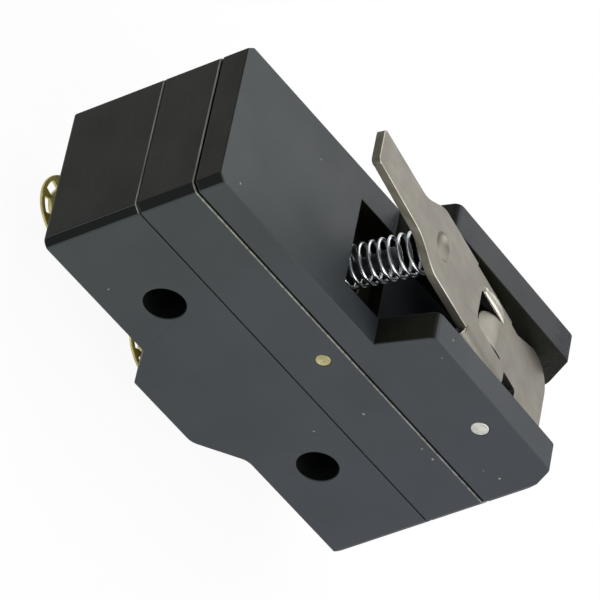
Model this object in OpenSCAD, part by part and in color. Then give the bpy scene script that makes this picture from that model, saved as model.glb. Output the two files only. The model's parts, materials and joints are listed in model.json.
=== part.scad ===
// Snap-action basic switch with a short hinge lever and a return spring.
// The frame's origin lies on the axis between the two mounting holes, at mid thickness.
// +X runs toward the hinge end, +Y through the thickness, +Z toward the lever.

/* [Body] */
// Length of the body
body_l = 49.2; // [48.6:0.2:52]
// Thickness of the body between its two large sides
body_w = 17.45; // [16.85:0.1:18.45]
// Chamfer of the upright edges along the length
edge_x = 0.8; // [0.4:0.1:1.2]
// Chamfer of the upright edges through the thickness
edge_y = 0.7; // [0.3:0.1:1]
// Distance between the two mounting holes
hole_pitch = 25.4; // [24.4:0.2:26.4]
// Diameter of a mounting hole
hole_d = 4.2; // [3.6:0.1:4.6]

/* [Case] */
// Depth of the end flats below the axis of the mounting holes
flat_depth = 5.8; // [5.4:0.1:6.2]
// Depth of the belly below the axis of the mounting holes
belly_depth = 9.3; // [8.9:0.1:9.8]
// Length of the belly's flat face
belly_l = 9.4; // [9:0.2:10]
// Length of the slope on the belly's plain side
belly_slope = 3.3; // [2.8:0.1:3.6]
// Length of the soft slope on the belly's hinge side
belly_sweep = 4.6; // [4:0.2:5]
// Height of the case's joint with the cover above the hole axis
case_rise = 5.1; // [4.8:0.1:5.6]
// Wall at the two ends of the mechanism's room
end_wall = 1.2; // [1:0.05:1.25]
// Wall at the two sides of the mechanism's room
side_wall = 3.9; // [3.7:0.1:4]
// Web between a mounting hole and the floor of the room
floor_web = 1.3; // [1:0.1:1.4]

/* [Cover] */
// Height of the cover
cover_h = 6.6; // [6.4:0.1:7.2]
// Thickness of the cover's roof
roof_t = 1.4; // [1.2:0.1:1.5]
// Depth of the spring's seat in the roof
seat_depth = 0.5; // [0.3:0.1:0.6]
// Diameter of the pin across the cover
cover_pin_d = 1.5; // [1.2:0.1:1.6]
// Place of the cover pin along the length
cover_pin_x = 0.3; // [0.2:0.1:1.5]
// Depth of the cover pin's axis below the cover's top
cover_pin_drop = 2.45; // [2.3:0.05:2.6]
// Depth of the shadow line under the bracket
seam_inset = 0.25; // [0.1:0.05:0.4]
// Height of the shadow line under the bracket
seam_h = 0.25; // [0.1:0.05:0.4]

/* [Lever bracket] */
// Height of the bracket's deck above the cover
bracket_h = 3.2; // [2.8:0.1:3.6]
// Height of the two cheeks above the deck
cheek_h = 5.9; // [5.4:0.1:6.4]
// Thickness of a cheek
cheek_t = 3.4; // [3.2:0.1:3.6]
// Place of the cheeks' foot along the length
cheek_x = 0.5; // [0:0.1:0.8]
// Lean of the cheeks' front edge over its height
cheek_lean = 1.7; // [1:0.1:2]
// Lean of the cheeks' back edge over its height
back_lean = 1.9; // [1.4:0.1:2.2]
// Fall of the cheeks' top toward the hinge end
cheek_fall = 0.5; // [0:0.1:0.7]
// Radius of the cheeks' front corner
front_r = 0.9; // [0.5:0.1:1.2]
// Radius of the cheeks' back corner
back_r = 0.6; // [0.4:0.1:1]
// Length of the pocket ahead of the cheeks' foot
pocket_l = 5.5; // [5.2:0.1:6]
// Depth of the channel's floor below the deck
channel_drop = 1.65; // [1.4:0.05:1.8]

/* [Lever] */
// Thickness of the lever's sheet
lever_t = 0.9; // [0.7:0.05:1]
// Tilt of the free lever
lever_tilt = 10.3; // [9.8:0.1:10.8]
// Reach from the hinge to the free tip
lever_reach = 30.2; // [28:0.2:31]
// Width of the finger at the free tip
finger_w = 4.4; // [4:0.1:5]
// Width of the lever over the spring
waist_w = 8.3; // [7.6:0.1:8.6]
// Distance from the hinge to the finger's root
finger_root = 21.3; // [20.8:0.1:22]
// Length of the shoulder between finger and waist
shoulder_l = 5.2; // [4.6:0.1:5.6]
// Distance from the hinge to the front of the ears
ear_front = 9; // [8.4:0.1:9.6]
// Length of the tail behind the hinge
tail_l = 7.8; // [7:0.1:8.2]
// Radius of the tail's corners
tail_r = 2.8; // [2:0.1:3.4]
// Running gap between an ear and its cheek
ear_gap = 0.5; // [0.4:0.05:0.6]
// Distance from the hinge to the dimple
dimple_reach = 15.9; // [15.7:0.1:16.1]
// Radius of the dimple's mouth
dimple_r = 1.5; // [1.3:0.1:1.7]
// Depth of the dimple
dimple_depth = 0.75; // [0.6:0.05:0.8]

/* [Hinge] */
// Place of the hinge along the length
hinge_x = 14.8; // [14.6:0.1:15.2]
// Height of the hinge above the deck
hinge_rise = 2.55; // [2.45:0.05:2.8]
// Diameter of the hinge pin
hinge_d = 1.8; // [1.6:0.1:1.9]
// Running clearance around the hinge pin
hinge_fit = 0.05; // [0.02:0.01:0.1]

/* [Return spring] */
// Outer diameter of the spring
spring_d = 4.4; // [4.2:0.1:4.6]
// Diameter of the spring's wire
wire_d = 0.4; // [0.35:0.05:0.5]
// Number of turns
spring_turns = 11; // [9:1:12]

/* [Plunger] */
// Diameter of the plunger's stem
plunger_d = 1.9; // [1.6:0.1:1.9]
// Place of the plunger along the length
plunger_x = -1.45; // [-1.6:0.05:-1.4]
// Height of the free plunger above the deck
plunger_rise = 2.55; // [2.2:0.05:2.6]
// Running clearance around the plunger's stem
plunger_fit = 0.06; // [0.03:0.01:0.1]
// Travel of the plunger
plunger_travel = 0.9; // [0.7:0.05:1]
// Diameter of the plunger's flange
flange_d = 4.4; // [4:0.1:4.8]

/* [Snap mechanism] */
// Thickness of the snap blade
blade_t = 0.3; // [0.2:0.05:0.4]
// Width of the snap blade
blade_w = 6.4; // [6:0.1:6.8]
// Distance of the blade's heel from the body's plain end
anchor_set = 7.8; // [7.4:0.1:8.2]
// Distance of the contacts from the body's hinge end
contact_set = 11.1; // [10.6:0.1:11.6]
// Diameter of a contact
contact_d = 2.6; // [2.2:0.1:3]
// Open gap between the contacts
contact_gap = 1; // [0.8:0.05:1.1]
// Height of a fixed contact's head
contact_h = 1; // [0.9:0.05:1.1]

/* [Terminals] */
// Thickness of the terminal strips
strip_t = 1; // [0.8:0.05:1]
// Width of the terminal strips
strip_w = 7; // [6.4:0.1:7.4]
// Distance of an end terminal's screw from the body's end
terminal_inset = 4.7; // [4.5:0.05:4.8]
// Wall outside an end terminal's leg
leg_wall = 1.3; // [1.2:0.05:1.4]
// Place of the middle terminal's screw along the length
middle_x = -0.6; // [-0.8:0.1:0]
// Diameter of a terminal screw
screw_d = 2.9; // [2.7:0.1:3.1]
// Depth of a terminal screw in the case
screw_bite = 2.6; // [2:0.1:3]
// Diameter of a terminal screw's countersunk head
head_d = 5; // [4.8:0.1:5.3]
// Diameter of a cup washer
washer_d = 7.9; // [7.6:0.1:8.1]
// Height of a cup washer
washer_h = 1.6; // [1.4:0.1:1.8]
// Thickness of a cup washer's sheet
washer_t = 0.35; // [0.3:0.05:0.5]
// Width of a cup washer's rim outside its windows
washer_rim = 0.45; // [0.4:0.05:0.6]
// Number of windows round a cup washer
washer_windows = 8; // [6:1:9]
// Width of a cup washer's window
window_w = 1.7; // [1.2:0.1:1.8]

/* [Stack screws] */
// Distance of the stack screws from the body's ends
stack_edge = 5; // [4.6:0.1:5.2]
// Shank diameter of a stack screw
stack_d = 1.9; // [1.6:0.1:2]
// Head diameter of a stack screw
stack_head_d = 3.2; // [3:0.1:3.3]
// Head height of a stack screw
stack_head_h = 1.4; // [1.2:0.1:1.8]
// Depth of a stack screw's thread in the bracket
stack_grip = 2.2; // [1.8:0.1:2.4]

/* [Hidden] */
$fn = 48;

// Levels, counted from the axis of the mounting holes
half_l = body_l / 2;
half_w = body_w / 2;
cover_z = case_rise + cover_h;
deck_z = cover_z + bracket_h;
cheek_z = deck_z + cheek_h;
hinge_z = deck_z + hinge_rise;
channel_z = deck_z - channel_drop;
roof_z = cover_z - roof_t;
floor_z = hole_d / 2 + floor_web;
room_x = half_l - end_wall;
room_y = half_w - side_wall;
stack_x = half_l - stack_edge;
stack_inset = 0.55;
shank_play = 0.1;
overcut = 1;

// Bracket
channel_y = half_w - cheek_t;
pocket_x = cheek_x - pocket_l;
pocket_end_x = cheek_x + cheek_lean;
back_foot = 1.7;
back_foot_r = 2;
fine_r = 0.15;

// Lever, in its own frame: X along the sheet toward the tail, Z square to the sheet
plate_gap = 0.1;
plate_z = hinge_d / 2 + plate_gap;
plate_top = plate_z + lever_t;
ear_y = channel_y - ear_gap;
bend_r = 1.3;
eye_wall = 1.1;
eye_r = hinge_d / 2 + eye_wall;
ear_back = 0.7;
ear_bow_r = 0.4;
ear_corner_r = 0.5;
eye_cut = 0.25;
eye_cut_z = plate_z - eye_cut;
ear_neck = 1.2;
ear_dip = 1.5;
ear_lip = 1.1;
tip_r = 0.5;
notch_r = 0.3;
tail_gap = 2;
tail_neck = 2.4;
tail_flare = 4.2;
tail_overlap = 1.1;
stop_gap = 0.06;
heel_x = 1;
heel_l = 1.6;
heel_top = 0.2;
dimple_ball = (dimple_r * dimple_r + dimple_depth * dimple_depth) / (2 * dimple_depth);

// Places in the frame of the free lever, brought to the body's own frame
function lever_x(u, w) = hinge_x + u * cos(lever_tilt) + w * sin(lever_tilt);
function lever_z(u, w) = hinge_z - u * sin(lever_tilt) + w * cos(lever_tilt);

// Window, tongue and bead of the lever, counted from the hinge and the lever's middle
window_front = 7.45;
window_back = 3;
window_near = -1.95;
window_far = 2.1;
window_r = 1.3;
slot_back = 1.8;
slot_w = 0.3;
tongue_l = 2.7;
tongue_drop = 26;
tongue_r = 1;
tongue_fit = 0.15;
tongue_root = 0.15;
bead_r = 0.42;
bead_rise = 0.32;
bead_inset = 0.6;
bead_y = window_far + bead_r;

// Spring: its head sits round the dimple, its foot in the cover's seat
spring_play = 0.05;
spring_back = 0.7;
seat_play = 0.45;
spring_foot = [plunger_x - spring_back, cover_z - seat_depth + wire_d / 2 + spring_play];
spring_head = [lever_x(-dimple_reach, plate_z - wire_d / 2 - spring_play),
               lever_z(-dimple_reach, plate_z - wire_d / 2 - spring_play)];
seat_d = spring_d + 2 * seat_play;
ring_sides = 8;
turn_steps = 18;
closed_turns = 1.4;

// Mechanism
press_play = 0.08;
anchor_x = anchor_set - half_l;
contact_x = half_l - contact_set;
blade_reach = contact_x - anchor_x;
shank_d = contact_d / 2;
nc_strip_z = roof_z - strip_t;
nc_face_z = nc_strip_z - contact_h;
no_face_z = floor_z + strip_t + contact_h;
moving_h = nc_face_z - no_face_z - contact_gap;
contact_play = 0.05;
blade_z = (nc_face_z + no_face_z + contact_gap) / 2;
blade_drop = contact_gap - 2 * contact_play;
press_drop = blade_drop * (plunger_x - anchor_x) / blade_reach;
foot_z = blade_z + blade_t / 2 + plunger_travel - press_drop + press_play;
slot_fit = 0.15;
tail_play = 0.15;
anchor_t = 1.2;
anchor_side = 0.4;
anchor_w = blade_w + 2 * anchor_side;
anchor_rise = 1.2;
foot_t = 0.8;
foot_edge = 1.6;
rivet_d = 1.4;
rivet_head_d = 2.4;
rivet_head_h = 0.6;
rivet_gap = 0.4;
rivet_x = anchor_x - anchor_t - rivet_head_d / 2 - rivet_gap;
bow_rise = 1;
bow_w = 2.6;
blade_slot_w = 3.8;
slot_back_web = 2.6;
slot_plunger_web = 3.15;
slot_start = anchor_x + slot_back_web;
slot_end = plunger_x - slot_plunger_web;
post_back = 1.6;
post_x = slot_start + post_back;
post_t = 0.8;
post_foot = 3.2;
post_rise = 0.5;
post_edge = 0.2;

// Terminals
terminal_x = half_l - terminal_inset;
leg_x = half_l - leg_wall - strip_t;
leg_fit = 0.05;
leg_offset = 3.8;
middle_leg_x = middle_x + leg_offset;
strip_edge = 0.4;
strip_bend = 0.9;
corner_r = 0.6;
well_play = 0.5;
well_extra = 0.6;
end_level = -flat_depth - strip_t;
belly_level = -belly_depth - strip_t;

// Returns a corner's arc, or the bare point where its radius is nothing
function corner(a, b, c, r) =
    let (u = (a - b) / norm(a - b), v = (c - b) / norm(c - b))
    let (half = acos(u * v) / 2)
    let (p = b + u * r / tan(half), q = b + v * r / tan(half))
    let (m = b + (u + v) / norm(u + v) * r / sin(half))
    let (from = atan2(p[1] - m[1], p[0] - m[0]), to = atan2(q[1] - m[1], q[0] - m[0]))
    let (turn = to - from > 180 ? to - from - 360 : to - from < -180 ? to - from + 360 : to - from)
    let (n = max(2, ceil(abs(turn) / 12)))
    [for (k = [0 : n]) m + r * [cos(from + turn * k / n), sin(from + turn * k / n)]];

// Rounds an outline given as points [x, y, radius]
function rounded(pts) =
    let (n = len(pts))
    [for (i = [0 : n - 1])
        let (a = pts[(i + n - 1) % n], b = pts[i], c = pts[(i + 1) % n])
        each (b[2] == 0 ? [[b[0], b[1]]]
            : corner([a[0], a[1]], [b[0], b[1]], [c[0], c[1]], b[2]))];

// Extrudes a side outline, drawn in X and Z, through a thickness centred on Y
module side_plate(outline, width) {
    rotate([90, 0, 0])
        linear_extrude(width, center = true)
            polygon(outline);
}

// Extrudes a plan outline between two levels
module plan_plate(outline, low, high) {
    translate([0, 0, low])
        linear_extrude(high - low)
            polygon(outline);
}

// A block between two corners
module block(low, high) {
    translate(low)
        cube(high - low);
}

// A drill along Y, through everything
module cross_drill(x, z, d) {
    translate([x, 0, z])
        rotate([90, 0, 0])
            cylinder(h = body_w + 2 * overcut, d = d, center = true);
}

// The body's plan with its four chamfered edges, drawn in by an inset
function body_plan(inset) =
    let (x = half_l - inset, y = half_w - inset)
    [for (s = [[1, 1], [-1, 1], [-1, -1], [1, -1]])
        each (s[0] * s[1] > 0
            ? [[s[0] * x, s[1] * (y - edge_y)], [s[0] * (x - edge_x), s[1] * y]]
            : [[s[0] * (x - edge_x), s[1] * y], [s[0] * x, s[1] * (y - edge_y)]])];

// A slice of the body between two levels
module body_slice(low, high, inset = 0) {
    plan_plate(body_plan(inset), low, high);
}

// The room that holds the snap mechanism
module mechanism_room() {
    block([-room_x, -room_y, floor_z], [room_x, room_y, roof_z]);
}

// The places of the four stack screws
module at_stack_screws() {
    for (sx = [-1, 1])
        for (sy = [-1, 1])
            translate([sx * stack_x, sy * (half_w - cheek_t / 2 - stack_inset), 0])
                children();
}

// Side outline of the case: end flats, belly and its two different slopes
belly_shift = -0.15;
step_r = 0.3;
foot_r = 0.5;
sweep_r = 2;
belly_x = belly_shift - belly_l / 2;
case_outline = rounded([
    [-half_l, -flat_depth, foot_r],
    [belly_x - belly_slope, -flat_depth, step_r],
    [belly_x, -belly_depth, step_r],
    [belly_x + belly_l, -belly_depth, sweep_r],
    [belly_x + belly_l + belly_sweep, -flat_depth, sweep_r],
    [half_l, -flat_depth, foot_r],
    [half_l, case_rise, 0],
    [-half_l, case_rise, 0]]);

// A slot for a terminal's leg, from the room down through the case
module leg_slot(x, depth) {
    half = strip_w / 2 + leg_fit;
    block([x - leg_fit, -half, -depth - overcut], [x + strip_t + leg_fit, half, floor_z + overcut]);
}

// A well for a terminal screw's thread
module screw_well(x, depth) {
    translate([x, 0, -depth - overcut])
        cylinder(h = screw_bite + well_extra + overcut, d = screw_d + 2 * well_play);
}

module case() {
    color("#33383a")
    difference() {
        intersection() {
            body_slice(-belly_depth, case_rise);
            side_plate(case_outline, body_w);
        }
        mechanism_room();
        for (s = [-1, 1])
            cross_drill(s * hole_pitch / 2, 0, hole_d);
        leg_slot(leg_x, flat_depth);
        leg_slot(-leg_x - strip_t, flat_depth);
        leg_slot(middle_leg_x, belly_depth);
        screw_well(terminal_x, flat_depth);
        screw_well(-terminal_x, flat_depth);
        screw_well(middle_x, belly_depth);
        at_stack_screws() {
            translate([0, 0, -belly_depth])
                cylinder(h = belly_depth + case_rise + overcut, d = stack_d + 2 * shank_play);
            translate([0, 0, -belly_depth])
                cylinder(h = belly_depth - flat_depth + stack_head_h, d = stack_head_d + 2 * shank_play);
        }
    }
}

module cover() {
    color("#373c3e")
    difference() {
        union() {
            body_slice(case_rise, case_rise + seam_h / 2, seam_inset / 2);
            body_slice(case_rise + seam_h / 2, cover_z);
        }
        mechanism_room();
        translate([plunger_x, 0, roof_z - overcut])
            cylinder(h = roof_t + 2 * overcut, d = plunger_d + 2 * plunger_fit);
        translate([spring_foot[0], 0, cover_z - seat_depth])
            cylinder(h = seat_depth + overcut, d = seat_d);
        cross_drill(cover_pin_x, cover_z - cover_pin_drop, cover_pin_d);
        at_stack_screws()
            translate([0, 0, case_rise - overcut])
                cylinder(h = cover_h + 2 * overcut, d = stack_d + 2 * shank_play);
    }
}

// Side outline of the bracket: deck, leaning cheek fronts and sloped backs
bracket_outline = rounded([
    [-half_l, cover_z, 0],
    [half_l, cover_z, 0],
    [half_l, deck_z + back_foot, back_foot_r],
    [half_l - back_lean, cheek_z - cheek_fall, back_r],
    [cheek_x + cheek_lean, cheek_z, front_r],
    [cheek_x, deck_z, fine_r],
    [-half_l, deck_z, 0]]);

module lever_bracket() {
    color("#3b4042")
    difference() {
        intersection() {
            union() {
                body_slice(cover_z, cover_z + seam_h, seam_inset);
                body_slice(cover_z + seam_h, cheek_z);
            }
            side_plate(bracket_outline, body_w);
        }
        block([pocket_x, -channel_y, channel_z], [half_l + overcut, channel_y, cheek_z + overcut]);
        block([pocket_x, -channel_y, cover_z - overcut], [pocket_end_x, channel_y, channel_z + overcut]);
        cross_drill(hinge_x, hinge_z, hinge_d);
        at_stack_screws()
            translate([0, 0, cover_z - overcut])
                cylinder(h = stack_grip + overcut, d = stack_d);
    }
}

stack_slot_w = 0.5;
stack_slot_h = 0.6;

module stack_screws() {
    color("#8d8f8c")
    at_stack_screws()
        difference() {
            union() {
                translate([0, 0, -flat_depth])
                    cylinder(h = flat_depth + cover_z + stack_grip, d = stack_d);
                translate([0, 0, -flat_depth])
                    cylinder(h = stack_head_h, d = stack_head_d);
            }
            translate([0, 0, -flat_depth])
                cube([stack_head_d + overcut, stack_slot_w, 2 * stack_slot_h], center = true);
        }
}

// Puts its children in the lever's own frame
module on_lever() {
    translate([hinge_x, 0, hinge_z])
        rotate([0, lever_tilt, 0])
            children();
}

// Half width of the lever along the shoulder, as a smooth step
function shoulder(s) = finger_w / 2 + (waist_w - finger_w) / 2 * (1 - cos(180 * s)) / 2;

shoulder_steps = 10;
lever_edge = [for (k = [0 : shoulder_steps])
    [-finger_root + shoulder_l * k / shoulder_steps, shoulder(k / shoulder_steps)]];

// Plan of the sheet between the free tip and the front of the ears
lever_front_plan = concat(
    rounded([[-lever_reach, -finger_w / 2, tip_r], [-lever_reach, finger_w / 2, tip_r],
             [-finger_root, finger_w / 2, 0]]),
    lever_edge,
    [[-ear_front, waist_w / 2], [-ear_front, -waist_w / 2]],
    [for (k = [shoulder_steps : -1 : 0]) [lever_edge[k][0], -lever_edge[k][1]]],
    [[-finger_root, -finger_w / 2]]);

// Plan of the tail behind the ears: a relief notch by the near ear, a flare by the far one
lever_tail_plan = rounded([
    [-tail_overlap, -tail_neck, 0],
    [tail_gap, -tail_neck, notch_r],
    [tail_gap, -ear_y, notch_r],
    [tail_l, -ear_y, tail_r],
    [tail_l, ear_y, tail_r],
    [tail_flare, ear_y, notch_r],
    [ear_back, ear_y - bend_r, notch_r],
    [-tail_overlap, ear_y - bend_r, 0]]);

// Section of the lever across its ears
ear_section = concat(
    rounded([[-ear_y, -hinge_z, 0], [-ear_y, plate_top, bend_r], [ear_y, plate_top, bend_r],
             [ear_y, -hinge_z, 0]]),
    rounded([[ear_y - lever_t, -hinge_z, 0], [ear_y - lever_t, plate_z, bend_r - lever_t],
             [lever_t - ear_y, plate_z, bend_r - lever_t], [lever_t - ear_y, -hinge_z, 0]]));

// Side outline of an ear, from its front to the step behind the bend
ear_side = rounded([
    [-ear_front, plate_top, 0],
    [-ear_back, plate_top, 0],
    [-ear_back, -ear_neck, 0],
    [-eye_r, -ear_dip, ear_bow_r],
    [-ear_front, plate_z - ear_lip, ear_corner_r]]);

module ear_sides() {
    intersection() {
        translate([-ear_front, 0, 0])
            rotate([90, 0, 90])
                linear_extrude(ear_front + 3 * eye_r)
                    polygon(ear_section);
        union() {
            side_plate(ear_side, 2 * ear_y + overcut);
            intersection() {
                rotate([90, 0, 0])
                    cylinder(h = 2 * ear_y + overcut, r = eye_r, center = true);
                block([-eye_r, -ear_y - overcut, -eye_r], [eye_r, ear_y + overcut, eye_cut_z]);
            }
            rotate([0, -lever_tilt, 0])
                block([heel_x, -ear_y - overcut, channel_z - hinge_z + stop_gap],
                      [heel_x + heel_l, ear_y + overcut, -heel_top]);
        }
    }
}

// The window behind the tongue, with a slot along its near side
module window_cut() {
    plan_plate(rounded([
        [-window_front, window_far, step_r],
        [-window_back, window_far, 0],
        [-window_back, window_near + slot_w, 0],
        [-slot_back, window_near + slot_w, 0],
        [-slot_back, window_near, 0],
        [-window_front, window_near, window_r]]), plate_z - overcut, plate_top + overcut);
}

// The tongue, rooted at the window's back edge and lowered toward the free tip
module tongue() {
    low = window_near + slot_w;
    high = window_far - tongue_fit;
    translate([-window_back, 0, plate_z])
        rotate([0, -tongue_drop, 0])
            plan_plate(rounded([
                [tongue_root, high, 0],
                [-tongue_l, high, tongue_r],
                [-tongue_l, low, tongue_r],
                [tongue_root, low, 0]]), 0, lever_t);
}

// The bead pressed up along the window's far edge
module bead() {
    front = -window_front + bead_inset;
    translate([0, bead_y, plate_top + bead_rise - bead_r]) {
        translate([front, 0, 0])
            rotate([0, 90, 0])
                cylinder(h = window_front - window_back - bead_inset, r = bead_r);
        for (x = [front, -window_back])
            translate([x, 0, 0])
                sphere(r = bead_r);
    }
}

module lever() {
    color("#a8a498")
    on_lever()
        difference() {
            union() {
                difference() {
                    union() {
                        plan_plate(lever_front_plan, plate_z, plate_top);
                        plan_plate(lever_tail_plan, plate_z, plate_top);
                        ear_sides();
                    }
                    window_cut();
                }
                tongue();
                bead();
                intersection() {
                    translate([-dimple_reach, 0, plate_top + dimple_ball - dimple_depth])
                        sphere(r = dimple_ball + lever_t);
                    block([-lever_reach, -finger_w, -hinge_z], [0, finger_w, plate_top - lever_t / 2]);
                }
            }
            translate([-dimple_reach, 0, plate_top + dimple_ball - dimple_depth])
                sphere(r = dimple_ball);
            rotate([90, 0, 0])
                cylinder(h = body_w, d = hinge_d + 2 * hinge_fit, center = true);
        }
}

module hinge_pin() {
    color("#c4c4bc")
    translate([hinge_x, 0, hinge_z])
        rotate([90, 0, 0])
            cylinder(h = body_w, d = hinge_d, center = true);
}

// Spring: height along the axis as a share, with closed turns at both ends
turn_gap = 0.016;
closed_share = closed_turns * (wire_d + turn_gap);
spring_len = norm(spring_head - spring_foot);
function spring_rise(turn) =
    turn < closed_turns ? turn / closed_turns * closed_share
    : turn > spring_turns - closed_turns
        ? spring_len - (spring_turns - turn) / closed_turns * closed_share
    : closed_share + (turn - closed_turns) / (spring_turns - 2 * closed_turns) * (spring_len - 2 * closed_share);

function spring_lean(turn) = lever_tilt * min(1, turn / 2);

function spring_point(turn) =
    let (share = spring_rise(turn) / spring_len, lean = spring_lean(turn))
    let (m = spring_foot + (spring_head - spring_foot) * share, r = (spring_d - wire_d) / 2)
    [m[0] + r * cos(360 * turn) * cos(lean), r * sin(360 * turn),
     m[1] - r * cos(360 * turn) * sin(lean)];

function spring_ring(turn) =
    let (lean = spring_lean(turn), out = [cos(360 * turn) * cos(lean), sin(360 * turn), -cos(360 * turn) * sin(lean)])
    [for (k = [0 : ring_sides - 1])
        spring_point(turn)
        + wire_d / 2 * cos(360 * k / ring_sides) * out
        + wire_d / 2 * sin(360 * k / ring_sides) * [sin(lean), 0, cos(lean)]];

module return_spring() {
    rings = round(spring_turns * turn_steps);
    color("#d8dde0")
    polyhedron(
        points = [for (i = [0 : rings]) each spring_ring(i / turn_steps)],
        faces = concat(
            [[for (k = [0 : ring_sides - 1]) k]],
            [for (i = [0 : rings - 1]) for (k = [0 : ring_sides - 1])
                let (a = i * ring_sides, b = a + ring_sides, l = (k + 1) % ring_sides)
                each [[a + k, b + k, b + l], [a + k, b + l, a + l]]],
            [[for (k = [ring_sides - 1 : -1 : 0]) rings * ring_sides + k]]));
}

flange_h = 1.25;
key_play = 0.1;

module plunger() {
    color("#2d3031")
    difference() {
        union() {
            translate([plunger_x, 0, foot_z])
                cylinder(h = deck_z + plunger_rise - foot_z, d = plunger_d);
            translate([plunger_x, 0, roof_z - flange_h - contact_play])
                cylinder(h = flange_h, d = flange_d);
        }
        block([cover_pin_x - cover_pin_d / 2 - key_play, -flange_d, floor_z],
              [cover_pin_x + flange_d, flange_d, roof_z]);
    }
}

module cover_pin() {
    color("#c9b77c")
    translate([cover_pin_x, 0, cover_z - cover_pin_drop])
        rotate([90, 0, 0])
            cylinder(h = body_w, d = cover_pin_d, center = true);
}

// An end terminal with its inner strip at a given level, drawn for the hinge end
module end_terminal(strip_low, strip_end) {
    outer = leg_x + strip_t;
    start = terminal_x - washer_d / 2;
    outline = rounded([
        [start, end_level, 0],
        [outer, end_level, strip_bend],
        [outer, strip_low + strip_t, strip_bend],
        [strip_end, strip_low + strip_t, 0],
        [strip_end, strip_low, 0],
        [leg_x, strip_low, 0],
        [leg_x, -flat_depth, 0],
        [start, -flat_depth, 0]]);
    difference() {
        intersection() {
            side_plate(outline, strip_w);
            plan_plate(rounded([
                [strip_end, -strip_w / 2, corner_r],
                [outer, -strip_w / 2, 0],
                [outer, strip_w / 2, 0],
                [strip_end, strip_w / 2, corner_r]]), end_level, strip_low + strip_t);
        }
        translate([terminal_x, 0, end_level - overcut])
            cylinder(h = strip_t + 2 * overcut, d = screw_d);
    }
}

module nc_terminal() {
    color("#b5a667")
    difference() {
        end_terminal(nc_strip_z, contact_x - contact_d / 2 - strip_edge);
        translate([contact_x, 0, nc_strip_z - overcut])
            cylinder(h = strip_t + 2 * overcut, d = shank_d);
    }
}

module com_terminal() {
    color("#b5a667")
    difference() {
        mirror([1, 0, 0])
            end_terminal(floor_z, -post_x - post_edge);
        translate([rivet_x, 0, floor_z - overcut])
            cylinder(h = strip_t + 2 * overcut, d = rivet_d);
    }
}

module no_terminal() {
    strip_end = contact_x + contact_d / 2 + strip_edge;
    start = middle_x - washer_d / 2;
    outline = rounded([
        [start, belly_level, 0],
        [middle_leg_x + strip_t, belly_level, strip_bend],
        [middle_leg_x + strip_t, floor_z, 0],
        [strip_end, floor_z, 0],
        [strip_end, floor_z + strip_t, 0],
        [middle_leg_x, floor_z + strip_t, strip_bend],
        [middle_leg_x, -belly_depth, 0],
        [start, -belly_depth, 0]]);
    color("#b5a667")
    difference() {
        side_plate(outline, strip_w);
        translate([middle_x, 0, belly_level - overcut])
            cylinder(h = strip_t + 2 * overcut, d = screw_d);
        translate([contact_x, 0, floor_z - overcut])
            cylinder(h = strip_t + 2 * overcut, d = shank_d);
    }
}

// The three screw stations: [place along X, level of the strip's outer face]
stations = [[-terminal_x, end_level], [middle_x, belly_level], [terminal_x, end_level]];

// Height of the countersunk head's cone, at a right angle between its sides
head_h = (head_d - screw_d) / 2;
drive_w = 0.8;
drive_h = 0.6;

module terminal_screws() {
    color("#b9ab72")
    for (s = stations)
        translate([s[0], 0, s[1]])
            difference() {
                union() {
                    translate([0, 0, -washer_h])
                        cylinder(h = washer_h + strip_t + screw_bite, d = screw_d);
                    translate([0, 0, -washer_h])
                        cylinder(h = head_h, d1 = head_d, d2 = screw_d);
                }
                translate([0, 0, -washer_h])
                    cube([head_d + overcut, drive_w, 2 * drive_h], center = true);
            }
}

// Half section of a cup washer: a neck on the strip, a dish for the head and a flat brim
neck_play = 0.35;
dish_play = 0.05;
neck_r = screw_d / 2 + neck_play;
dish_r = head_d / 2 + dish_play;
brim_r = washer_d / 2;
brim_edge_r = washer_t / 3;
washer_section = rounded([
    [neck_r, 0, 0],
    [neck_r, dish_r - neck_r - washer_h, 0],
    [dish_r, -washer_h, 0],
    [brim_r, -washer_h, brim_edge_r],
    [brim_r, washer_t - washer_h, brim_edge_r],
    [dish_r + washer_t / 2, washer_t - washer_h, 0],
    [neck_r + washer_t, dish_r - neck_r - washer_t / 2 + washer_t - washer_h, 0],
    [neck_r + washer_t, 0, 0]]);

module cup_washers() {
    pitch = 360 / washer_windows;
    color("#b0a062")
    for (s = stations)
        translate([s[0], 0, s[1]])
            difference() {
                rotate_extrude()
                    polygon(washer_section);
                for (k = [0 : washer_windows - 1])
                    rotate([0, 0, (k + 0.5) * pitch])
                        intersection() {
                            block([dish_r + dish_play, -window_w / 2, -washer_h - overcut],
                                  [brim_r, window_w / 2, 0]);
                            translate([0, 0, -washer_h - overcut])
                                cylinder(h = washer_h + overcut, r = brim_r - washer_rim);
                        }
            }
}

// Snap blade: a frame with a bowed tongue that is cut from its middle
blade_lip = 0.6;
blade_nose = 0.3;
blade_taper = 2;
blade_back_r = 0.5;
blade_side_r = 1;
blade_nose_r = 0.6;
blade_back = anchor_x - blade_lip;
blade_front = contact_x + contact_d / 2 + blade_nose;
bow_l = slot_end - post_x;
bow_r = (bow_l * bow_l / 4 + bow_rise * bow_rise) / (2 * bow_rise);
bow_half = asin(bow_l / 2 / bow_r);
bow_mid = slot_end - bow_l / 2;
bow_steps = 10;

// A point of the bow, at a share of its half length and a distance from its middle surface
function bow_point(share, off) = [
    bow_mid + (bow_r + off) * sin(bow_half * share),
    blade_z + bow_rise - bow_r + (bow_r + off) * cos(bow_half * share)];

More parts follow.
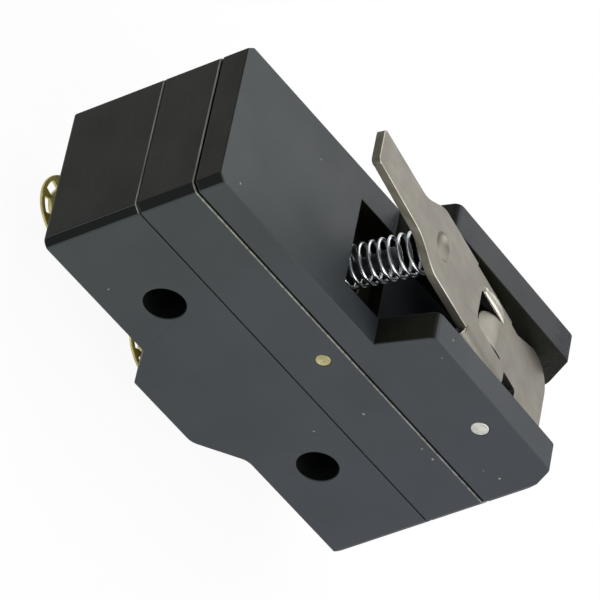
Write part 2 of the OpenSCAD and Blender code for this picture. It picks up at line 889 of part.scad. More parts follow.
module snap_blade() {
    color("#b98d4e")
    difference() {
        union() {
            difference() {
                plan_plate(rounded([
                    [blade_back, -blade_w / 2, blade_back_r],
                    [blade_front - blade_taper, -blade_w / 2, blade_side_r],
                    [blade_front, -contact_d / 2, blade_nose_r],
                    [blade_front, contact_d / 2, blade_nose_r],
                    [blade_front - blade_taper, blade_w / 2, blade_side_r],
                    [blade_back, blade_w / 2, blade_back_r]]),
                    blade_z - blade_t / 2, blade_z + blade_t / 2);
                block([slot_start, -blade_slot_w / 2, blade_z - overcut],
                      [slot_end, blade_slot_w / 2, blade_z + overcut]);
            }
            side_plate(concat(
                [for (k = [-bow_steps : bow_steps]) bow_point(k / bow_steps, blade_t / 2)],
                [for (k = [bow_steps : -1 : -bow_steps]) bow_point(k / bow_steps, -blade_t / 2)]),
                bow_w);
        }
        translate([contact_x, 0, blade_z])
            cylinder(h = 2 * overcut, d = shank_d, center = true);
    }
}

module moving_contact() {
    color("#d9d9d4")
    difference() {
        translate([contact_x, 0, blade_z - moving_h / 2 + contact_play])
            cylinder(h = moving_h - 2 * contact_play, d = contact_d);
        difference() {
            translate([contact_x, 0, blade_z])
                cylinder(h = blade_t, d = contact_d + overcut, center = true);
            translate([contact_x, 0, blade_z])
                cylinder(h = blade_t + overcut, d = shank_d, center = true);
        }
    }
}

module no_contact() {
    color("#d9d9d4")
    translate([contact_x, 0, floor_z]) {
        cylinder(h = strip_t, d = shank_d);
        translate([0, 0, strip_t])
            cylinder(h = contact_h, d = contact_d);
    }
}

module nc_contact() {
    color("#d9d9d4")
    translate([contact_x, 0, nc_face_z]) {
        cylinder(h = contact_h, d = contact_d);
        translate([0, 0, contact_h])
            cylinder(h = strip_t, d = shank_d);
    }
}

module blade_anchor() {
    foot_low = floor_z + strip_t;
    color("#b5a667")
    difference() {
        side_plate(rounded([
            [rivet_x - foot_edge, foot_low, 0],
            [anchor_x, foot_low, 0],
            [anchor_x, blade_z + anchor_rise, step_r],
            [anchor_x - anchor_t, blade_z + anchor_rise, step_r],
            [anchor_x - anchor_t, foot_low + foot_t, step_r],
            [rivet_x - foot_edge, foot_low + foot_t, 0]]), anchor_w);
        block([blade_back - slot_fit, -anchor_w, blade_z - blade_t / 2 - slot_fit],
              [anchor_x + overcut, anchor_w, blade_z + blade_t / 2 + slot_fit]);
        translate([rivet_x, 0, foot_low - overcut])
            cylinder(h = foot_t + 2 * overcut, d = rivet_d);
    }
}

module anchor_rivet() {
    color("#c9b77c")
    translate([rivet_x, 0, floor_z]) {
        cylinder(h = strip_t + foot_t, d = rivet_d);
        translate([0, 0, strip_t + foot_t])
            cylinder(h = rivet_head_h, d = rivet_head_d);
    }
}

module tongue_post() {
    foot_low = floor_z + strip_t;
    front = post_x - tail_play;
    color("#b5a667")
    side_plate(rounded([
        [post_x - post_foot, foot_low, 0],
        [front, foot_low, step_r],
        [front, blade_z + post_rise, fine_r],
        [front - post_t, blade_z + post_rise, fine_r],
        [front - post_t, foot_low + post_t, step_r],
        [post_x - post_foot, foot_low + post_t, 0]]), bow_w);
}

case();
cover();
lever_bracket();
stack_screws();
lever();
hinge_pin();
return_spring();
plunger();
cover_pin();
com_terminal();
no_terminal();
nc_terminal();
terminal_screws();
cup_washers();
snap_blade();
moving_contact();
no_contact();
nc_contact();
blade_anchor();
anchor_rivet();
tongue_post();
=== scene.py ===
import json
import math

import bpy
from mathutils import Euler, Matrix, Vector


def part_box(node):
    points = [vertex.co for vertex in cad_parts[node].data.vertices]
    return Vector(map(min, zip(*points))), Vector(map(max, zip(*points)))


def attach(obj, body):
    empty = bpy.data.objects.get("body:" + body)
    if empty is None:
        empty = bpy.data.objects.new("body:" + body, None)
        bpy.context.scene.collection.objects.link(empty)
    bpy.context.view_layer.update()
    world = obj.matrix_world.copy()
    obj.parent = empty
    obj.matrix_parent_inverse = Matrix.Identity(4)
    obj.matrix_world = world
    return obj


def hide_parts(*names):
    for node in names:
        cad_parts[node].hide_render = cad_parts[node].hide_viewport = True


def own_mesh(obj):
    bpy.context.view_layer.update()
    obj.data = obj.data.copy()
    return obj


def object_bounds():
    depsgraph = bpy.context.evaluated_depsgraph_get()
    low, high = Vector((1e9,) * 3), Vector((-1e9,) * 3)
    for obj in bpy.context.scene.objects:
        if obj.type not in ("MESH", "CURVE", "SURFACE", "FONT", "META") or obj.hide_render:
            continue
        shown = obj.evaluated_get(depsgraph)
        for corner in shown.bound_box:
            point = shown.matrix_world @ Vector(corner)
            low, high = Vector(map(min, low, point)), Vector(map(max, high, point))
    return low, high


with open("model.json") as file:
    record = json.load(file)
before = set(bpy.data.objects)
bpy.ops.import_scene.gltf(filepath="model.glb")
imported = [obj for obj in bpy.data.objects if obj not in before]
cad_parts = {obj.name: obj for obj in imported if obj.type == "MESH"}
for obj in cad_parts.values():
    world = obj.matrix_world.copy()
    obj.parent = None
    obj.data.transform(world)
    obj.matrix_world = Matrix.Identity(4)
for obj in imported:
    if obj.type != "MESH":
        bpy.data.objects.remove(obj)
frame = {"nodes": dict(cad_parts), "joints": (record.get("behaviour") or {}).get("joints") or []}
cad_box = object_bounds()
MM = 0.001


# Studio: a white paper floor under the switch, soft lamps above and behind it, and a long lens that
# looks down on the plain end. The switch lies as it is used: held by its mounting holes, lever up.
def linear(hex_colour):
    """An sRGB hex colour as linear RGBA."""
    channels = [int(hex_colour[i:i + 2], 16) / 255 for i in (0, 2, 4)]
    return [c / 12.92 if c <= 0.04045 else ((c + 0.055) / 1.055) ** 2.4 for c in channels] + [1.0]


def add_node(material, kind, settings=None, links=None):
    """A node with its properties or socket values set and its inputs linked."""
    tree = material.node_tree
    node = tree.nodes.new(kind)
    for name, value in (settings or {}).items():
        if isinstance(name, str) and hasattr(node, name):
            setattr(node, name, value)
        else:
            node.inputs[name].default_value = value
    for name, source in (links or {}).items():
        tree.links.new(source, node.inputs[name])
    return node


def new_material(name):
    """An empty node material."""
    material = bpy.data.materials.new(name)
    material.use_nodes = True
    material.node_tree.nodes.clear()
    return material


def soft_lamp(name, place, size, power):
    """A square area lamp that faces the switch."""
    data = bpy.data.lights.new(name, "AREA")
    data.size = size
    data.energy = power
    lamp = bpy.data.objects.new(name, data)
    lamp.location = place
    lamp.rotation_euler = (-Vector(place)).to_track_quat("-Z", "Y").to_euler()
    bpy.context.scene.collection.objects.link(lamp)


floor_size = 6
floor_gap = 0.2 * MM
bpy.ops.object.select_all(action="DESELECT")
bpy.ops.mesh.primitive_plane_add(size=floor_size, location=(0, 0, cad_box[0][2] - floor_gap))
floor = bpy.context.object
floor.name = "studio_floor"

# White paper: nearly white to the eye and in gloss, with a faint soft shadow of the switch on it
white_part = 0.93
paper = new_material("white studio paper")
path = add_node(paper, "ShaderNodeLightPath")
seen_or_gloss = add_node(paper, "ShaderNodeMath", {"operation": "MAXIMUM"},
                         {0: path.outputs["Is Camera Ray"], 1: path.outputs["Is Glossy Ray"]})
seen = add_node(paper, "ShaderNodeMath", {"operation": "MAXIMUM"},
                {0: seen_or_gloss.outputs[0], 1: path.outputs["Is Transmission Ray"]})
white_share = add_node(paper, "ShaderNodeMath", {"operation": "MULTIPLY", 1: white_part},
                       {0: seen.outputs[0]})
matt = add_node(paper, "ShaderNodeBsdfDiffuse", {"Color": linear("f0f0f0")})
white = add_node(paper, "ShaderNodeEmission", {"Color": linear("ffffff"), "Strength": 1.0})
paper_face = add_node(paper, "ShaderNodeMixShader",
                      links={0: white_share.outputs[0], 1: matt.outputs[0], 2: white.outputs[0]})
add_node(paper, "ShaderNodeOutputMaterial", links={"Surface": paper_face.outputs[0]})
floor.data.materials.append(paper)

world = bpy.data.worlds.new("studio")
bpy.context.scene.world = world
world.use_nodes = True
world.node_tree.nodes["Background"].inputs["Color"].default_value = (1, 1, 1, 1)
world.node_tree.nodes["Background"].inputs["Strength"].default_value = 0.3

soft_lamp("far_lamp", place=(0.15, 0.6, 0.8), size=1.5, power=11.5)
soft_lamp("near_lamp", place=(0.6, -0.9, 0.5), size=1.5, power=18)

camera_place = (-0.33726, -0.40508, 0.31696)
camera_turn = [math.radians(degrees) for degrees in (29.6724, -54.1382, 15.1424)]
camera_data = bpy.data.cameras.new("camera")
camera_data.lens = 385.9
camera_data.clip_end = 20
camera = bpy.data.objects.new("camera", camera_data)
bpy.context.scene.collection.objects.link(camera)
camera.matrix_world = Matrix.Translation(camera_place) @ Euler(camera_turn).to_matrix().to_4x4()
bpy.context.scene.camera = camera
bpy.context.scene.view_settings.view_transform = "Standard"


# Case, cover and bracket: the three stacked mouldings of the body, dark grey phenolic pressed in
# steel moulds. The case holds the mounting holes and the room, the cover closes it, and the bracket
# carries the lever between two cheeks. Faces are left as moulded, and corners are hardly rounded.
def solid_copy(node, name, whole_faces=True):
    """The node's solid as a mesh of its own, its corners merged and its flat faces made whole."""
    same_corner = 0.002 * MM
    flat_within = math.radians(1)
    bpy.ops.object.select_all(action="DESELECT")
    piece = bpy.data.objects.new(name, frame["nodes"][node].data.copy())
    bpy.context.scene.collection.objects.link(piece)
    bpy.context.view_layer.objects.active = piece
    piece.select_set(True)
    piece.data.materials.clear()
    bpy.ops.object.mode_set(mode="EDIT")
    bpy.ops.mesh.select_all(action="SELECT")
    bpy.ops.mesh.remove_doubles(threshold=same_corner)
    if whole_faces:
        bpy.ops.mesh.dissolve_limited(angle_limit=flat_within)
    bpy.ops.object.mode_set(mode="OBJECT")
    return piece


def break_edges(piece, edge):
    """Rounds the piece's sharp edges and keeps its flat faces flat to the eye."""
    rounded_from = math.radians(30)
    smooth_below = math.radians(35)
    large_faces_first = 100
    bpy.ops.object.select_all(action="DESELECT")
    bpy.context.view_layer.objects.active = piece
    piece.select_set(True)
    bevel = piece.modifiers.new("edges", "BEVEL")
    bevel.width = edge
    bevel.segments = 2
    bevel.limit_method = "ANGLE"
    bevel.angle_limit = rounded_from
    bevel.use_clamp_overlap = False
    bevel.loop_slide = False
    bpy.ops.object.modifier_apply(modifier=bevel.name)
    bpy.ops.object.shade_smooth_by_angle(angle=smooth_below)
    weight = piece.modifiers.new("flat_faces", "WEIGHTED_NORMAL")
    weight.keep_sharp = True
    weight.weight = large_faces_first
    bpy.ops.object.modifier_apply(modifier=weight.name)


def belongs(piece, node, body="body"):
    """The piece stands for the node and moves with the body."""
    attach(piece, body)
    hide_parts(node)


def dressed_copy(node, name, edge, body="body", whole_faces=True):
    """The node's solid with its sharp edges rounded, in place of the node."""
    piece = solid_copy(node, name, whole_faces)
    break_edges(piece, edge)
    belongs(piece, node, body)
    return piece


def phenolic(name, colour, hinge_end_colour, strokes=0.0, shine=0.25):
    """Moulded phenolic: dark, matt and a little cloudy, with loose dust and a fine mould grain."""
    material = new_material(name)
    place = add_node(material, "ShaderNodeTexCoord")
    here = place.outputs["Object"]
    axes = add_node(material, "ShaderNodeSeparateXYZ", links={0: here})
    # The tone shifts slowly from one end to the other, and is cloudy in patches of about 6 mm
    along = add_node(material, "ShaderNodeMapRange", {1: -24 * MM, 2: 24 * MM, 3: 0, 4: 1},
                     {0: axes.outputs[0]})
    face = add_node(material, "ShaderNodeMix", {"data_type": "RGBA"}, {0: along.outputs[0]})
    face.inputs[6].default_value = linear(colour)
    face.inputs[7].default_value = linear(hinge_end_colour)
    cloud = add_node(material, "ShaderNodeTexNoise", {"Scale": 170, "Detail": 3, "Roughness": 0.45},
                     {"Vector": here})
    tone = add_node(material, "ShaderNodeMapRange", {1: 0.35, 2: 0.65, 3: 0.9, 4: 1.06},
                    {0: cloud.outputs["Fac"]})
    # Level strokes from the polishing of the mould, 0.4 mm apart
    level = add_node(material, "ShaderNodeMapping", {"Scale": (1, 0.06, 1)}, {"Vector": here})
    stroke = add_node(material, "ShaderNodeTexNoise", {"Scale": 2600, "Detail": 2},
                      {"Vector": level.outputs[0]})
    stroke_tone = add_node(material, "ShaderNodeMapRange", {1: 0.3, 2: 0.7, 3: 1 - strokes, 4: 1 + strokes},
                           {0: stroke.outputs["Fac"]})
    stroked = add_node(material, "ShaderNodeMath", {"operation": "MULTIPLY"},
                       {0: tone.outputs[0], 1: stroke_tone.outputs[0]})
    # The far cheek is painted darker, as shade, and its back is stippled
    far = add_node(material, "ShaderNodeMapRange", {1: 4.8 * MM, 2: 5.6 * MM, 3: 0, 4: 1},
                   {0: axes.outputs[1]})
    high = add_node(material, "ShaderNodeMapRange", {1: 15 * MM, 2: 17 * MM, 3: 0, 4: 1},
                    {0: axes.outputs[2]})
    cheek = add_node(material, "ShaderNodeMath", {"operation": "MULTIPLY"},
                     {0: far.outputs[0], 1: high.outputs[0]})
    painted_cheek_shade = add_node(material, "ShaderNodeMapRange", {1: 0, 2: 1, 3: 1, 4: 0.6}, {0: cheek.outputs[0]})
    back = add_node(material, "ShaderNodeMapRange", {1: 19 * MM, 2: 21 * MM, 3: 0, 4: 1},
                    {0: axes.outputs[0]})
    rough_back = add_node(material, "ShaderNodeMath", {"operation": "MULTIPLY"},
                          {0: cheek.outputs[0], 1: back.outputs[0]})
    toned = add_node(material, "ShaderNodeMath", {"operation": "MULTIPLY"},
                     {0: stroked.outputs[0], 1: painted_cheek_shade.outputs[0]})
    shaded = add_node(material, "ShaderNodeMix", {"data_type": "RGBA", "blend_type": "MULTIPLY", 0: 1.0},
                      {6: face.outputs[2], 7: toned.outputs[0]})
    # Dust: specks of about 0.2 mm in some of the cells, 1.7 mm across, most of them at the hinge end
    cells = add_node(material, "ShaderNodeTexVoronoi", {"Scale": 600}, {"Vector": here})
    near = add_node(material, "ShaderNodeMapRange", {1: 0.05, 2: 0.09, 3: 1, 4: 0},
                    {0: cells.outputs["Distance"]})
    chance = add_node(material, "ShaderNodeSeparateColor", links={0: cells.outputs["Color"]})
    dusty_end = add_node(material, "ShaderNodeMapRange", {1: -12 * MM, 2: 16 * MM, 3: 0.96, 4: 0.8},
                         {0: axes.outputs[0]})
    few = add_node(material, "ShaderNodeMath", {"operation": "GREATER_THAN"},
                   {0: chance.outputs[0], 1: dusty_end.outputs[0]})
    speck = add_node(material, "ShaderNodeMath", {"operation": "MULTIPLY"},
                     {0: near.outputs[0], 1: few.outputs[0]})
    speck_share = add_node(material, "ShaderNodeMath", {"operation": "MULTIPLY", 1: 0.5},
                           {0: speck.outputs[0]})
    dusty = add_node(material, "ShaderNodeMix", {"data_type": "RGBA"},
                     {0: speck_share.outputs[0], 6: shaded.outputs[2]})
    dusty.inputs[7].default_value = linear("b8b6ac")
    # Mould grain of 0.25 mm, coarser than the real grain so that it shows
    grain = add_node(material, "ShaderNodeTexNoise", {"Scale": 4000, "Detail": 2}, {"Vector": here})
    bump = add_node(material, "ShaderNodeBump", {"Strength": 0.22, "Distance": 0.04 * MM},
                    {"Height": grain.outputs["Fac"]})
    # Stipple of 0.5 mm on the far cheek's back
    stipple = add_node(material, "ShaderNodeTexNoise", {"Scale": 2200, "Detail": 3, "Roughness": 0.7},
                       {"Vector": here})
    pits = add_node(material, "ShaderNodeMath", {"operation": "MULTIPLY"},
                    {0: stipple.outputs["Fac"], 1: rough_back.outputs[0]})
    stippled = add_node(material, "ShaderNodeBump", {"Strength": 0.9, "Distance": 0.25 * MM},
                        {"Height": pits.outputs[0], "Normal": bump.outputs["Normal"]})
    dull = add_node(material, "ShaderNodeMapRange", {1: 0.3, 2: 0.7, 3: 0.42, 4: 0.54},
                    {0: cloud.outputs["Fac"]})
    gloss = add_node(material, "ShaderNodeBsdfPrincipled", {"IOR": 1.5, "Specular IOR Level": shine},
                     {"Base Color": dusty.outputs[2], "Normal": stippled.outputs["Normal"],
                      "Roughness": dull.outputs[0]})
    add_node(material, "ShaderNodeOutputMaterial", links={"Surface": gloss.outputs[0]})
    return material


# Most faces are slate grey and matt. Faces turned to the plain end, and the channel's walls and floor,
# are painted a deeper, olive black as shade; bores and upright corners are painted black lines of shade,
# and the edges at the seams are painted pale as highlights.
moulding_looks = (
    phenolic("moulded phenolic", "33393a", "31353b"),
    phenolic("polished phenolic end", "17190f", "17190f", strokes=0.2, shine=0.14),
    phenolic("scraped phenolic edge", "111313", "111313", shine=0.12),
    phenolic("rubbed phenolic edge", "7c7d70", "666968", strokes=0.5, shine=0.5))
plain, painted_shade, painted_dark_line, painted_highlight = range(len(moulding_looks))
moulded_edge = 0.12 * MM
half_pitch = 12.7 * MM
hole_r = 2.2 * MM
channel_y = 5.4 * MM
roof_step = 0.6 * MM
corner_x = 23 * MM
painted_highlight_end_x = -24 * MM
edge_area = 10 * MM * MM
cover_foot, cover_top = (corner.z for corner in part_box("cover"))


def moulding_look(node, face):
    """The look of one face of a moulding, by its place and the way it faces."""
    normal, middle = face.normal, face.center
    on_edge = 0.2 < abs(normal.z) < 0.97 and face.area < edge_area
    from_hole = math.hypot(abs(middle.x) - half_pitch, middle.z)
    upright_corner = abs(abs(normal.x) - abs(normal.y)) < 0.2 and abs(normal.z) < 0.1
    # Edge faces along the seams: painted pale, as highlights
    if node == "cover" and on_edge and abs(middle.z - cover_top) < moulded_edge:
        return painted_highlight
    if node == "case" and on_edge and abs(middle.z - cover_foot) < moulded_edge and middle.x < painted_highlight_end_x:
        return painted_highlight
    # The channel's walls and the cover's top inside it: painted olive black, as shade
    if node == "lever_bracket" and abs(middle.y) < channel_y and abs(normal.y) > 0.9:
        return painted_shade
    if node == "cover" and normal.z > 0.9 and abs(middle.z - cover_top) < roof_step:
        return painted_shade
    # Bores and upright corners: painted black, as shade
    if from_hole < hole_r and abs(normal.y) < 0.3:
        return painted_dark_line
    if upright_corner and abs(middle.x) > corner_x:
        return painted_dark_line
    # Faces turned to the plain end: painted olive black, as shade
    if normal.x < -0.5 and abs(normal.y) < 0.3:
        return painted_shade
    return plain


for node in ("case", "cover", "lever_bracket"):
    # The case's faces, with several holes each, stay in triangles: one outline can't hold them flat
    piece = dressed_copy(node, node + "_moulding", moulded_edge, whole_faces=node != "case")
    for look in moulding_looks:
        piece.data.materials.append(look)
    for face in piece.data.polygons:
        face.material_index = moulding_look(node, face)


# Cover pin: a brass dowel pressed across the cover. Only its two dull yellow ends show, flush with
# the large sides.
def worked_metal(name, colour, dark_colour, roughness, grain=1500, stretch=(1, 1, 1), relief=0.1):
    """A metal with a fine worked grain: two tones, uneven gloss and shallow marks."""
    material = new_material(name)
    place = add_node(material, "ShaderNodeTexCoord")
    here = place.outputs["Object"]
    # Marks of the tool, 1000 / grain in millimetres and longer where stretched, and smudges of 3 mm
    drawn = add_node(material, "ShaderNodeMapping", {"Scale": stretch}, {"Vector": here})
    marks = add_node(material, "ShaderNodeTexNoise", {"Scale": grain, "Detail": 3},
                     {"Vector": drawn.outputs[0]})
    smudge = add_node(material, "ShaderNodeTexNoise", {"Scale": 350, "Detail": 2}, {"Vector": here})
    both = add_node(material, "ShaderNodeMath", {"operation": "MULTIPLY"},
                    {0: marks.outputs["Fac"], 1: smudge.outputs["Fac"]})
    share = add_node(material, "ShaderNodeMapRange", {1: 0.12, 2: 0.38, 3: 0, 4: 1}, {0: both.outputs[0]})
    tone = add_node(material, "ShaderNodeMix", {"data_type": "RGBA"}, {0: share.outputs[0]})
    tone.inputs[6].default_value = linear(dark_colour)
    tone.inputs[7].default_value = linear(colour)
    dull = add_node(material, "ShaderNodeMapRange",
                    {1: 0.3, 2: 0.7, 3: roughness + 0.08, 4: roughness - 0.06},
                    {0: smudge.outputs["Fac"]})
    bump = add_node(material, "ShaderNodeBump", {"Strength": relief, "Distance": 0.02 * MM},
                    {"Height": marks.outputs["Fac"]})
    gloss = add_node(material, "ShaderNodeBsdfPrincipled", {"Metallic": 1.0},
                     {"Base Color": tone.outputs[2], "Roughness": dull.outputs[0],
                      "Normal": bump.outputs["Normal"]})
    add_node(material, "ShaderNodeOutputMaterial", links={"Surface": gloss.outputs[0]})
    return material


# Turned brass left bare: pale, dull and a little blotched
dull_brass = worked_metal("dull turned brass", "c2ba8e", "8f8660", 0.5)
cover_pin = dressed_copy("cover_pin", "cover_dowel", 0.08 * MM)
cover_pin.data.materials.append(dull_brass)


# Hinge pin: bright ground steel, pressed through both cheeks and the lever's ears, its ends flush
# with the large sides.
# Ground steel: nearly white, with a soft shine
pin_steel = worked_metal("bright ground steel", "d2d2ca", "a8a8a0", 0.38)
hinge_pin = dressed_copy("hinge_pin", "hinge_dowel", 0.1 * MM)
hinge_pin.data.materials.append(pin_steel)


# Lever: stainless sheet of 0.9 mm, blanked, pierced and folded in one tool, satin from the rolling.
# The burr side faces up, so its edges are only just broken.
hinge = Vector(next(joint["pos_m"] for joint in frame["joints"] if joint["name"] == "lever_hinge"))
lever_tilt = math.radians(10.3)
on_lever = Matrix.Translation(hinge) @ Matrix.Rotation(lever_tilt, 4, "Y")
to_lever = on_lever.inverted()
sheet_top = 1.9 * MM
sheet_t = 0.9 * MM
sheet_edge = 0.07 * MM
window_back = -3 * MM
window_front = -7.45 * MM
window_near = -1.95 * MM
window_far = 2.1 * MM
tongue_near = -1.65 * MM
tongue_far = 1.95 * MM
head_reach = -15.9 * MM
dimple_zone_r = 1.6 * MM
bright_edge_to = -8 * MM
slack = 0.03 * MM
front_margin = 0.15 * MM
lever = solid_copy("lever", "lever_sheet")

# The straight tongue goes, and its root in the window's back wall is closed
bpy.ops.object.mode_set(mode="EDIT")
bpy.ops.mesh.select_mode(type="FACE")
bpy.ops.mesh.select_all(action="DESELECT")
bpy.ops.object.mode_set(mode="OBJECT")
for face in lever.data.polygons:
    middle = to_lever @ face.center
    face.select = (window_front + front_margin < middle.x < window_back - slack
                   and tongue_near - slack < middle.y < tongue_far + slack
                   and middle.z < sheet_top + slack)
bpy.ops.object.mode_set(mode="EDIT")
bpy.ops.mesh.delete(type="FACE")
bpy.ops.mesh.select_mode(type="EDGE")
bpy.ops.mesh.select_non_manifold()
bpy.ops.mesh.edge_face_add()
bpy.ops.object.mode_set(mode="OBJECT")

# The tongue as lanced: bent down on a round of 3.2 mm, then straight, its tip's corners rounded off
bend_r = 3.2 * MM
bend_angle = math.radians(30)
straight = 1.15 * MM
root = 0.15 * MM
tip_round = 1.1 * MM
rows_along = 17
rows_across = 12
bend_l = bend_r * bend_angle
tongue_l = bend_l + straight
tongue_w = tongue_far - tongue_near
bpy.ops.object.select_all(action="DESELECT")
bpy.ops.mesh.primitive_grid_add(x_subdivisions=rows_along, y_subdivisions=rows_across, size=1)
tongue = bpy.context.object
tongue.name = "tongue"
for vertex in tongue.data.vertices:
    along = -root + (vertex.co.x + 0.5) * (tongue_l + root)
    across = (vertex.co.y + 0.5) * tongue_w
    to_side = min(across, tongue_w - across)
    if to_side < tip_round:
        cut = tip_round - math.sqrt(max(0, tip_round ** 2 - (tip_round - to_side) ** 2))
        along = -root + (along + root) * (tongue_l - cut + root) / (tongue_l + root)
    angle = min(max(along, 0), bend_l) / bend_r
    over = max(along - bend_l, 0)
    drop = bend_r * (1 - math.cos(angle)) + over * math.sin(angle)
    reach = bend_r * math.sin(angle) + over * math.cos(angle) + min(along, 0)
    vertex.co = on_lever @ Vector((window_back - reach, tongue_near + across, sheet_top - drop))
bpy.ops.object.mode_set(mode="EDIT")
bpy.ops.mesh.select_all(action="SELECT")
bpy.ops.mesh.normals_make_consistent(inside=False)
bpy.ops.object.mode_set(mode="OBJECT")
if tongue.data.polygons[0].normal.z < 0:
    bpy.ops.object.mode_set(mode="EDIT")
    bpy.ops.mesh.flip_normals()
    bpy.ops.object.mode_set(mode="OBJECT")
wall = tongue.modifiers.new("sheet", "SOLIDIFY")
wall.thickness = sheet_t
wall.offset = -1
bpy.ops.object.modifier_apply(modifier=wall.name)

# The bead beside the window: pressed up, blunt in section and fullest at the middle of its length
bead_from = -7.1 * MM
bead_to = -2.1 * MM
bead_inner = window_far + 0.02 * MM
bead_sink = 0.02 * MM
bead_high = 0.45 * MM
end_half_w = 0.15 * MM
swell = 0.5 * MM
bluntness = 0.6
end_share = 0.3
pole_spread = 1.6
bpy.ops.object.select_all(action="DESELECT")
bpy.ops.mesh.primitive_uv_sphere_add(segments=32, ring_count=16, radius=1, rotation=(0, math.pi / 2, 0))
bead = bpy.context.object
bpy.ops.object.transform_apply(location=False, rotation=True, scale=True)
for vertex in bead.data.vertices:
    share = (vertex.co.x + 1) / 2
    full = math.sin(math.pi * share) ** bluntness if 0 < share < 1 else 0
    half_w = end_half_w + swell * full
    high = bead_high * (end_share + (1 - end_share) * full)
    ring = math.hypot(vertex.co.y, vertex.co.z) or 1
    spread = min(1, ring * pole_spread) / ring
    vertex.co = on_lever @ Vector((
        bead_from + share * (bead_to - bead_from),
        bead_inner + half_w + vertex.co.y * spread * half_w,
        sheet_top - bead_sink + vertex.co.z * spread * high))

for part in (tongue, bead):
    part.select_set(True)
lever.select_set(True)
bpy.context.view_layer.objects.active = lever
bpy.ops.object.join()
break_edges(lever, sheet_edge)


def stainless(name, colour, dark_colour, roughness, relief=0.1):
    """The lever's sheet, whose marks run along it four times as long as wide."""
    return worked_metal(name, colour, dark_colour, roughness, stretch=(0.25, 1, 1), relief=relief)


# The rolled faces are a satin warm grey. The blanked sides are darker, partly their duller finish and
# partly painted shade. The window's far wall is painted nearly black as shade, and the edges and the bead
# are painted pale as highlights.
lever_looks = (
    stainless("satin rolled stainless", "8f8b82", "87837a", 0.5),
    stainless("sheared stainless wall", "2a2a28", "161614", 0.7),
    stainless("blanked stainless side", "77736a", "5f5c50", 0.5, relief=0.15),
    stainless("rubbed stainless edge", "c9c6bc", "aaa69c", 0.4))
rolled, painted_shade_wall, blanked_and_shaded, painted_highlight_edge = range(len(lever_looks))
for look in lever_looks:
    lever.data.materials.append(look)
for face in lever.data.polygons:
    middle = to_lever @ face.center
    normal = (to_lever.to_3x3() @ face.normal).normalized()
    in_window = (window_front - slack < middle.x < window_back + slack
                 and window_near - slack < middle.y < window_far + slack)
    in_tongue = (window_front < middle.x < window_back
                 and tongue_near - slack < middle.y < tongue_far + slack)
    in_bead = middle.z > sheet_top + slack
    in_dimple = math.hypot(middle.x - head_reach, middle.y) < dimple_zone_r
    on_edge = 0.3 < normal.z < 0.95 and not (in_tongue or in_dimple) and middle.x < bright_edge_to
    face.material_index = rolled
    # The window's far wall: painted nearly black, as shade
    if in_window and middle.y > tongue_far + slack and abs(normal.y) > 0.5:
        face.material_index = painted_shade_wall
    # Blanked sides: their own duller finish, and painted darker as shade too
    elif abs(normal.z) < 0.3 and not (in_tongue or in_bead):
        face.material_index = blanked_and_shaded
    # Bead and edge faces: painted pale, as highlights
    elif in_bead or on_edge:
        face.material_index = painted_highlight_edge
belongs(lever, "lever", "lever_arm")


# Return spring: bright drawn steel wire of 0.4 mm, wound cold, with closed ends. Its foot sits in the
# cover's seat round the plunger and its head leans with the lever, round the dimple.
wire_d = 0.4 * MM
coil_r = 2 * MM
coil_turns = 11
closed_turns = 1.4
closed_rise = 0.5824 * MM
steps_a_turn = 36
head_under = 0.75 * MM
seat_x = -2.15 * MM
seat_sink = 0.25 * MM
leaning_turns = 2
foot = Vector((seat_x, 0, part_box("cover")[1].z - seat_sink))
head = on_lever @ Vector((head_reach, 0, head_under))
coil_length = (head - foot).length


def coil_point(turn):
    """A point of the wire's centre line, counted in turns from the foot."""
    if turn < closed_turns:
        rise = turn / closed_turns * closed_rise
    elif turn > coil_turns - closed_turns:
        rise = coil_length - (coil_turns - turn) / closed_turns * closed_rise
    else:
        open_share = (turn - closed_turns) / (coil_turns - 2 * closed_turns)
        rise = closed_rise + open_share * (coil_length - 2 * closed_rise)
    lean = lever_tilt * min(1, turn / leaning_turns)
    angle = 2 * math.pi * turn
    across = Vector((math.cos(angle) * math.cos(lean), math.sin(angle), -math.cos(angle) * math.sin(lean)))
    return foot + (head - foot) * rise / coil_length + coil_r * across


bpy.ops.object.select_all(action="DESELECT")
coil_line = bpy.data.curves.new("coil_line", "CURVE")
coil_line.dimensions = "3D"
coil_line.bevel_depth = wire_d / 2
coil_line.bevel_resolution = 4
coil_line.use_fill_caps = True
wire_run = coil_line.splines.new("POLY")
points = [coil_point(k / steps_a_turn) for k in range(coil_turns * steps_a_turn + 1)]
wire_run.points.add(len(points) - 1)
for wire_point, place in zip(wire_run.points, points):
    wire_point.co = (*place, 1)
spring = bpy.data.objects.new("coil_spring", coil_line)
bpy.context.scene.collection.objects.link(spring)
bpy.context.view_layer.objects.active = spring
spring.select_set(True)
bpy.ops.object.convert(target="MESH")
spring = bpy.context.object
bpy.ops.object.mode_set(mode="EDIT")
bpy.ops.mesh.select_all(action="SELECT")
bpy.ops.mesh.remove_doubles(threshold=0.001 * MM)
bpy.ops.mesh.normals_make_consistent(inside=False)
bpy.ops.object.mode_set(mode="OBJECT")
bpy.ops.object.shade_smooth_by_angle(angle=math.radians(40))
# Drawn wire: nearly white, with sharp bright lines along each turn
bright_wire = worked_metal("bright drawn wire", "f4f6f8", "ccd2d8", 0.24, grain=2500, relief=0.04)
spring.data.materials.append(bright_wire)
belongs(spring, "return_spring")
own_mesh(spring)


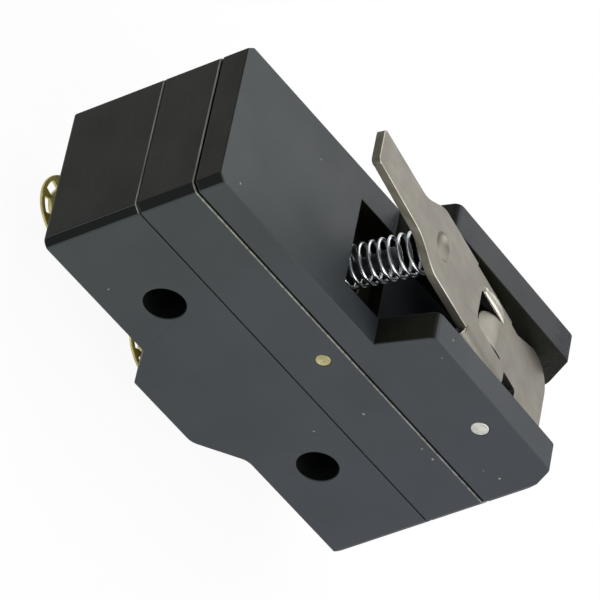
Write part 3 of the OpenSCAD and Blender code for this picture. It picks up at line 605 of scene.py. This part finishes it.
# Plunger: a dark moulded resin pin with a flange under the cover's roof. It carries the lever's push
# to the snap blade.
# Moulded resin: nearly black with a faint gloss, and a grain of 0.3 mm, coarsened so that it shows
resin = new_material("moulded dark resin")
resin_place = add_node(resin, "ShaderNodeTexCoord")
resin_grain = add_node(resin, "ShaderNodeTexNoise", {"Scale": 3000, "Detail": 2},
                       {"Vector": resin_place.outputs["Object"]})
resin_tone = add_node(resin, "ShaderNodeMix", {"data_type": "RGBA"}, {0: resin_grain.outputs["Fac"]})
resin_tone.inputs[6].default_value = linear("202324")
resin_tone.inputs[7].default_value = linear("2e3233")
resin_bump = add_node(resin, "ShaderNodeBump", {"Strength": 0.15, "Distance": 0.03 * MM},
                      {"Height": resin_grain.outputs["Fac"]})
resin_gloss = add_node(resin, "ShaderNodeBsdfPrincipled", {"Roughness": 0.4, "IOR": 1.5},
                       {"Base Color": resin_tone.outputs[2], "Normal": resin_bump.outputs["Normal"]})
add_node(resin, "ShaderNodeOutputMaterial", links={"Surface": resin_gloss.outputs[0]})
plunger = dressed_copy("plunger", "plunger_pin", 0.1 * MM, "plunger_rod")
plunger.data.materials.append(resin)


# Terminals: three brass strips, blanked and bent, their outer ends flat under the case for the wires.
# Rolled brass: a cool pale yellow, satin, with marks along the strip
brass = worked_metal("rolled brass strip", "cfc68e", "a79f62", 0.4, grain=1200, stretch=(0.3, 1, 1))
for node in ("com_terminal", "no_terminal", "nc_terminal"):
    piece = dressed_copy(node, node + "_strip", 0.08 * MM)
    piece.data.materials.append(brass)


# Terminal screws and cup washers: turned brass screws with a slotted countersunk head, each in a
# pressed brass washer with a pierced brim.
for node, name, edge in (
        ("terminal_screws", "slotted_screws", 0.08 * MM),
        ("cup_washers", "pierced_washers", 0.05 * MM)):
    piece = dressed_copy(node, name, edge)
    piece.data.materials.append(brass)


# Snap mechanism: a copper alloy blade that turns on a brass anchor, with silver contacts riveted
# into it and into the strips. All of it lies in the closed room.
# Spring copper is a reddish brown with a clear shine, and contact silver is pale and smooth
copper = worked_metal("rolled spring copper", "c08a5a", "8f6440", 0.32, grain=1400, stretch=(0.3, 1, 1))
silver = worked_metal("headed contact silver", "dededa", "b4b4ae", 0.3)
for node, name, edge, slot, body, look in (
        ("snap_blade", "snap_leaf", 0.04 * MM, "spring_copper", "blade", copper),
        ("moving_contact", "moving_rivet", 0.08 * MM, "silver", "blade", silver),
        ("no_contact", "lower_rivet", 0.08 * MM, "silver", "body", silver),
        ("nc_contact", "upper_rivet", 0.08 * MM, "silver", "body", silver),
        ("blade_anchor", "anchor_bracket", 0.08 * MM, "brass", "body", brass),
        ("anchor_rivet", "anchor_rivet_head", 0.08 * MM, "brass", "body", brass),
        ("tongue_post", "tongue_bracket", 0.06 * MM, "brass", "body", brass)):
    piece = dressed_copy(node, name, edge, body)
    piece.data.materials.append(look)


# Stack screws: four zinc plated steel screws that clamp the three mouldings from below.
# Zinc plate: a cool mid grey, satin
zinc = worked_metal("zinc plated steel", "b8bab8", "8c8e8c", 0.4)
stack_screws = dressed_copy("stack_screws", "clamp_screws", 0.08 * MM)
stack_screws.data.materials.append(zinc)
